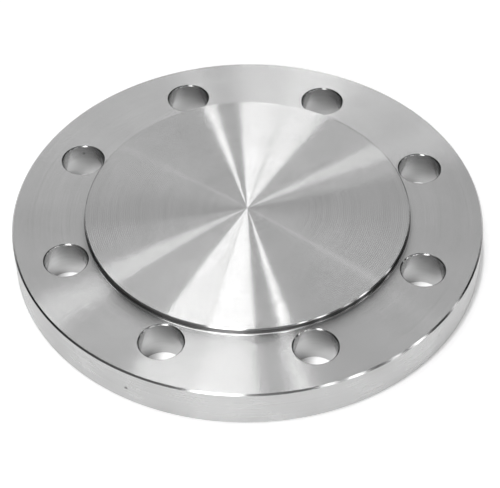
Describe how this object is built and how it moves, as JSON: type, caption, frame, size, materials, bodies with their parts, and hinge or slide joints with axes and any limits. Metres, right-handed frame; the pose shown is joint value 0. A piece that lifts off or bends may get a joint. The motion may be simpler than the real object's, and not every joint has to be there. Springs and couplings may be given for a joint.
{
  "type": "blind flange",
  "caption": "Flat round steel disc with a raised sealing face and a ring of bolt holes, bolted to a pipe flange to close the end of a pipe.",
  "frame": {"origin": "centre of the back face, on the flange's axis", "axes": "+Z along the flange's axis, out of the raised sealing face; the bolt holes straddle X and Y, the first 22.5 degrees from +X"},
  "size_m": [0.2, 0.2, 0.02],
  "materials": {
    "turned_stainless_steel": "bare stainless steel, turned: fine concentric tool marks on every face and a coarser spiral groove on the raised face"
  },
  "bodies": {
    "root": {"flange_disc": "turned_stainless_steel"}
  },
  "joints": []
}
